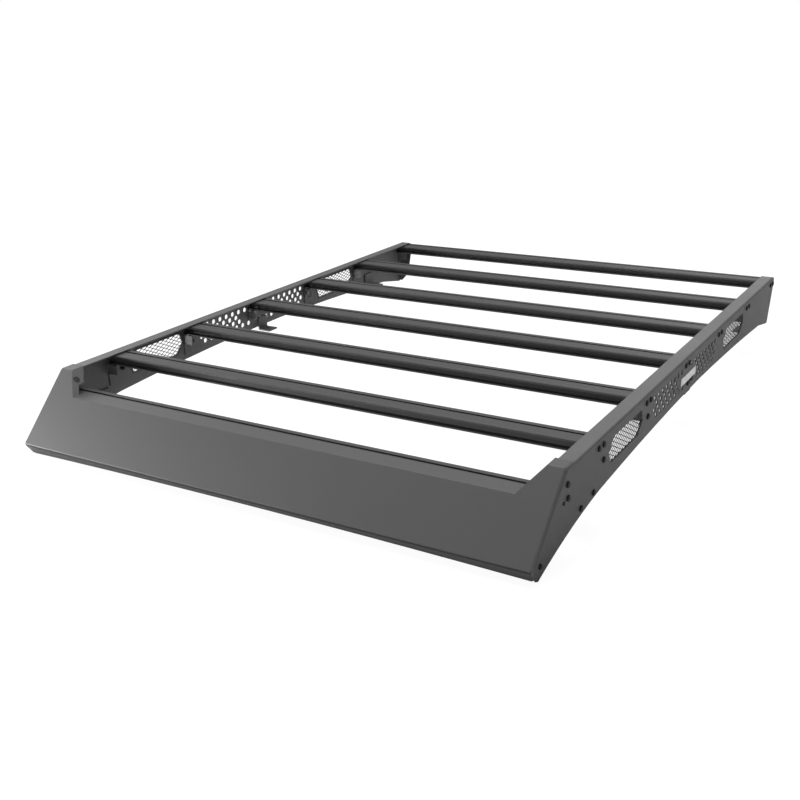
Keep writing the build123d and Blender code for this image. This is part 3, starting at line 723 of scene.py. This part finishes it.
def socket_screw(bm):
    """A low button head with its socket."""
    bevel_round(bm, cylinder(bm, SEGMENTS, HEAD_RADIUS, HEAD_HEIGHT, 0.0), DOME, DOME_SEGMENTS)
    caps = [face for face in bm.faces if len(face.verts) == SEGMENTS]
    hex_socket(bm, max(caps, key=lambda face: face.calc_center_median().z))


def nut_and_stud(bm):
    """A washer, a hexagonal nut and the end of its screw."""
    bevel_round(bm, cylinder(bm, SEGMENTS, WASHER_RADIUS, WASHER_HEIGHT, 0.0), WASHER_EDGE, NUT_SEGMENTS)
    bevel_round(bm, cylinder(bm, HEXAGON, NUT_RADIUS, NUT_HEIGHT, WASHER_HEIGHT), NUT_EDGE, NUT_SEGMENTS)
    cylinder(bm, STUD_SEGMENTS, STUD_RADIUS, STUD_HEIGHT, WASHER_HEIGHT)


def fastener_mesh(shape):
    """One fastener as a mesh that stands on the origin along Z."""
    bm = bmesh.new()
    shape(bm)
    bmesh.ops.recalc_face_normals(bm, faces=bm.faces)
    mesh = bpy.data.meshes.new("fastener")
    bm.to_mesh(mesh)
    bm.free()
    return mesh


SCREW = fastener_mesh(socket_screw)
NUT = fastener_mesh(nut_and_stud)
print("screw faces:", len(SCREW.polygons), "nut faces:", len(NUT.polygons))


# %% Rows of fasteners
PAIR_GAP = 12.5
BAR_SCREW_DROP = 18.5
NUT_PLACES = [(183.4, 51.4), (445.2, 52.4)]
BRACKET_SCREWS = [
    (2.0, 30.3, 1.0), (5.8, 58.7, 1.0), (-12.8, 61.9, 0.6), *[(*place, 1.0) for place in NUT_PLACES],
    (136.7, 102.1, 1.0), (72.8, 107.9, 1.0), (-112.0, 140.8, 0.9), (733.0, 68.0, 0.9), (761.0, 64.0, 0.9),
]
BRACKET_INNER = PANEL_OUTER - 6.0 * MM
FIRST_TURN = 0.4
NEXT_TURN = 1.7


def facing(direction):
    """Turns Z to a direction."""
    return Vector(direction).to_track_quat("Z", "Y").to_matrix().to_4x4()


def turn_of(count):
    """A different turn for each fastener, as hands leave them."""
    return FIRST_TURN + NEXT_TURN * count


def screw_places():
    """Distance, drop and size of each screw on a side panel; those at the bars' ends come in pairs."""
    pairs = [
        ((centre - DECK_FRONT) / MM + offset, BAR_SCREW_DROP, 1.0)
        for centre in BAR_CENTRES for offset in (-PAIR_GAP, PAIR_GAP)
    ]
    return pairs + BRACKET_SCREWS


def fasteners(name, mesh, places, plane_x, direction):
    """Copies of one fastener on the plane X = plane_x, joined into one object that looks along direction."""
    bm = bmesh.new()
    for count, (distance, drop, size) in enumerate(places):
        copy = mesh.copy()
        point = (plane_x, station(distance), level(drop))
        turned = Matrix.Translation(point) @ facing(direction) @ Matrix.Rotation(turn_of(count), 4, "Z")
        copy.transform(turned @ Matrix.Scale(size, 4))
        bm.from_mesh(copy)
        bpy.data.meshes.remove(copy)
    piece = new_piece(name, bm, SCREW_BLACK)
    print(name, "has", len(places), "fasteners and", len(piece.data.polygons), "faces")


for side_name, side in SIDES.items():
    fasteners(f"{side_name}_panel_screws", SCREW, screw_places(), side * PANEL_OUTER, (side, 0, 0))
    nutted = [(*place, 1.0) for place in NUT_PLACES]
    fasteners(f"{side_name}_panel_nuts", NUT, nutted, side * BRACKET_INNER, (-side, 0, 0))

# %% [markdown]
# ## The studio
#
# The photograph shows the rack cut out on white, lit softly from above and from the front left. A floor that
# only glows would keep no shadow, so this one is pale paint that is mixed with a glow for the camera alone,
# through Light Path, and no extra light falls on the rack. Near the rack some paint stays in the mix for the
# shadow. The glow's share rises with distance, so that the far floor is as white as the air and no horizon
# shows. Four large lamps give the long gradients on the fairing and the rails, and two small ones low in
# front light the lip and the nose. The camera doesn't see any of them.

# %% Floor
WHITE = (1.0, 1.0, 1.0, 1.0)
FLOOR_PAINT = (0.74, 0.74, 0.74, 1.0)
FLOOR_RADIUS = 40.0
FLOOR_SEGMENTS = 96
FLOOR_STRENGTH = 1.13
NEAR_GLOW = 0.82
GLOW_NEAR = 1.3
GLOW_FAR = 2.4


def floor_look():
    """Pale paint that glows white to the camera, and more so with distance from the rack."""
    material = bpy.data.materials.new("floor_look")
    material.use_nodes = True
    tree = material.node_tree
    tree.nodes.clear()
    paint = tree.nodes.new("ShaderNodeBsdfDiffuse")
    paint.inputs["Color"].default_value = FLOOR_PAINT
    glow = tree.nodes.new("ShaderNodeEmission")
    glow.inputs["Color"].default_value = WHITE
    glow.inputs["Strength"].default_value = FLOOR_STRENGTH
    place = tree.nodes.new("ShaderNodeTexCoord")
    distance = tree.nodes.new("ShaderNodeVectorMath")
    distance.operation = "LENGTH"
    tree.links.new(place.outputs["Object"], distance.inputs[0])
    share = spread(tree, distance.outputs["Value"], GLOW_NEAR, GLOW_FAR, NEAR_GLOW, 1.0)
    rays = tree.nodes.new("ShaderNodeLightPath")
    mix = tree.nodes.new("ShaderNodeMixShader")
    tree.links.new(math_node(tree, "MULTIPLY", rays.outputs["Is Camera Ray"], share), mix.inputs["Fac"])
    tree.links.new(paint.outputs["BSDF"], mix.inputs[1])
    tree.links.new(glow.outputs["Emission"], mix.inputs[2])
    output = tree.nodes.new("ShaderNodeOutputMaterial")
    tree.links.new(mix.outputs["Shader"], output.inputs["Surface"])
    return material


def studio_floor():
    """A large disc under the rack."""
    bm = bmesh.new()
    bmesh.ops.create_circle(bm, cap_ends=True, segments=FLOOR_SEGMENTS, radius=FLOOR_RADIUS)
    mesh = bpy.data.meshes.new("floor")
    bm.to_mesh(mesh)
    bm.free()
    mesh.materials.append(floor_look())
    floor = bpy.data.objects.new("floor", mesh)
    bpy.context.scene.collection.objects.link(floor)


studio_floor()
print("floor of radius", FLOOR_RADIUS, "glows", NEAR_GLOW, "near the rack and 1.0 from", GLOW_FAR, "m on")

# %% The air round the rack
AMBIENT = 0.25


def background(tree, strength):
    """A white Background node of one strength."""
    node = tree.nodes.new("ShaderNodeBackground")
    node.inputs["Color"].default_value = WHITE
    node.inputs["Strength"].default_value = strength
    return node.outputs["Background"]


def studio_air():
    """A world that is white to the camera and a dim light to everything else."""
    world = bpy.data.worlds.new("studio")
    world.use_nodes = True
    tree = world.node_tree
    tree.nodes.clear()
    rays = tree.nodes.new("ShaderNodeLightPath")
    choose = tree.nodes.new("ShaderNodeMixShader")
    tree.links.new(rays.outputs["Is Camera Ray"], choose.inputs["Fac"])
    tree.links.new(background(tree, AMBIENT), choose.inputs[1])
    tree.links.new(background(tree, 1.0), choose.inputs[2])
    output = tree.nodes.new("ShaderNodeOutputWorld")
    tree.links.new(choose.outputs["Shader"], output.inputs["Surface"])
    return world


bpy.context.scene.world = studio_air()
print("ambient light:", AMBIENT)


# %% Lamps
def softbox(name, place, aim, size, power):
    """A square area lamp that points at a place; size in metres and power in watts."""
    lamp = bpy.data.lights.new(name, "AREA")
    lamp.shape = "SQUARE"
    lamp.size = size
    lamp.energy = power
    holder = bpy.data.objects.new(name, lamp)
    holder.location = place
    holder.rotation_mode = "QUATERNION"
    holder.rotation_quaternion = (Vector(aim) - Vector(place)).to_track_quat("-Z", "Y")
    holder.visible_camera = False
    bpy.context.scene.collection.objects.link(holder)


LAMPS = [
    ("overhead", (-0.4, 0.3, 3.0), (0, 0, 0.1), 2.4, 106.0),
    ("left_low", (-1.7, -1.5, 0.22), (-0.3, -0.75, 0.1), 0.38, 38.0),
    ("front", (0.0, -3.6, 1.3), (0, -0.6, 0.1), 2.0, 9.0),
    ("front_low", (0.5, -2.9, 0.16), (0.1, -0.85, 0.05), 0.28, 7.0),
    ("left_side", (-3.2, 0.6, 1.4), (-0.4, 0.2, 0.1), 1.6, 36.0),
    ("back", (0.3, 3.6, 1.6), (0, 0.2, 0.1), 2.5, 24.0),
]
for lamp_values in LAMPS:
    softbox(*lamp_values)
print("lamps:", [values[0] for values in LAMPS])

# %% [markdown]
# ## The camera
#
# The photograph was taken from the front right, a little above the rack. Guessing a camera by eye would leave
# every edge a few pixels off, so its lens, place and slight roll were worked out from the rack's own straight
# edges. The principal point is off the middle of the picture, so the camera has a small shift.

# %% Camera
CAMERA_PLACE = (1.2534, -1.5873 + DECK_FRONT, 0.9183)
AZIMUTH = math.radians(31.85)
ELEVATION = math.radians(23.53)
ROLL = math.radians(-1.775)
SENSOR_WIDTH = 36.0
FOCAL_LENGTH = 46.85
SHIFT_X = 0.0119
SHIFT_Y = 0.0798


def camera_turn():
    """Rotation matrix whose columns are the camera's right, up and back."""
    level_back = Vector((math.sin(AZIMUTH), -math.cos(AZIMUTH), 0))
    back = level_back * math.cos(ELEVATION) + Vector((0, 0, math.sin(ELEVATION)))
    right = Vector((math.cos(AZIMUTH), math.sin(AZIMUTH), 0))
    up = back.cross(right)
    rolled_right = math.cos(ROLL) * right + math.sin(ROLL) * up
    rolled_up = math.cos(ROLL) * up - math.sin(ROLL) * right
    return Matrix((rolled_right, rolled_up, back)).transposed()


lens = bpy.data.cameras.new("camera")
lens.sensor_width = SENSOR_WIDTH
lens.lens = FOCAL_LENGTH
lens.shift_x = SHIFT_X
lens.shift_y = SHIFT_Y
camera = bpy.data.objects.new("camera", lens)
camera.matrix_world = Matrix.Translation(CAMERA_PLACE) @ camera_turn().to_4x4()
bpy.context.scene.collection.objects.link(camera)
bpy.context.scene.camera = camera
bpy.context.scene.view_settings.view_transform = "Standard"
print("camera at", [round(v, 3) for v in CAMERA_PLACE])
